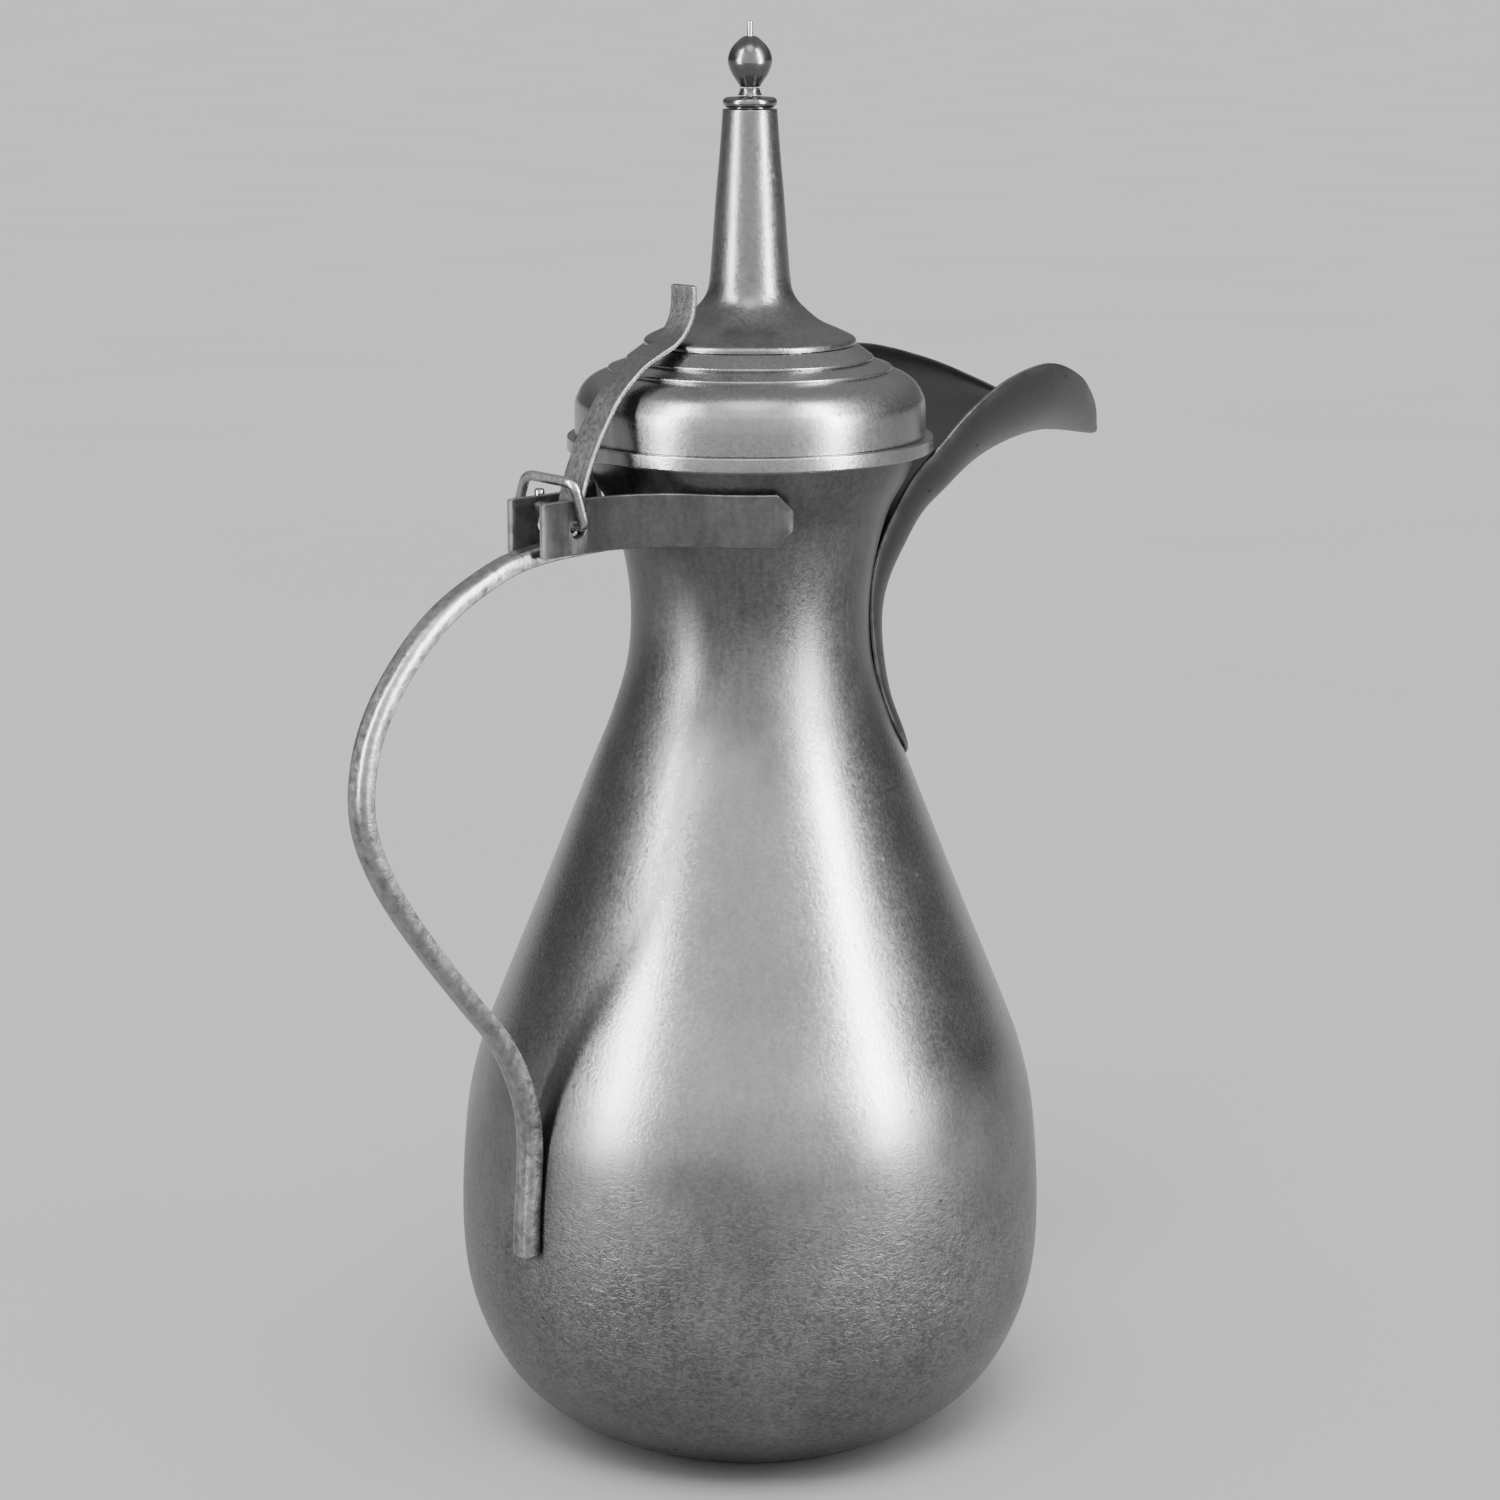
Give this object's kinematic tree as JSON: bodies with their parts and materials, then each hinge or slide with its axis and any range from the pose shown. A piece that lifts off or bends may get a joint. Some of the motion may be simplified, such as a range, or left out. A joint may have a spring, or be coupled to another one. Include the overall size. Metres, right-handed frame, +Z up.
{
  "type": "dallah coffee pot",
  "caption": "Tall metal coffee pot with pear-shaped body, open beak spout, hinged domed lid with thumb lever and spire, and a curved strap handle.",
  "frame": {"origin": "on the pot's axis, in the plane that its base stands on", "axes": "+Z up, +X along the spout, -X towards the handle, mirror plane y = 0"},
  "size_m": [0.2429, 0.1416, 0.34],
  "materials": {
    "pewter": "worn satin, tinned and hand polished",
    "strap_metal": "dull with rubbed edges",
    "handle_metal": "rubbed bright on the outside, stained in the hollows",
    "wire_metal": "drawn wire, semi-bright"
  },
  "bodies": {
    "pot": {"body_shell": "pewter", "base_plate": "pewter", "spout_shell": "pewter", "right_neck_strap": "strap_metal", "left_neck_strap": "strap_metal", "handle_bar": "handle_metal"},
    "lid": {"lid_lever": "strap_metal", "lid_flange": "pewter", "lid_collar": "pewter", "lid_dome": "pewter", "lid_lower_step": "pewter", "lid_upper_step": "pewter", "spire_cone": "pewter", "spire_collar": "pewter", "finial_neck": "pewter", "finial_ball": "pewter", "finial_rod": "wire_metal", "rod_washer": "strap_metal"},
    "wire": {"hinge_wire": "wire_metal"}
  },
  "joints": [
    {"name": "lid_hinge", "type": "hinge", "parent": "pot", "child": "lid", "pos_m": [-0.0592, 0, 0.229], "axis": [0, -1, 0], "range_deg": [0, 58]},
    {"name": "wire_swing", "type": "hinge", "parent": "pot", "child": "wire", "pos_m": [-0.0592, 0, 0.229], "axis": [0, -1, 0], "range_deg": [0, 28]}
  ],
  "couplings": [
    {"joint": "wire_swing", "follows": "lid_hinge", "ratio": 0.47}
  ]
}
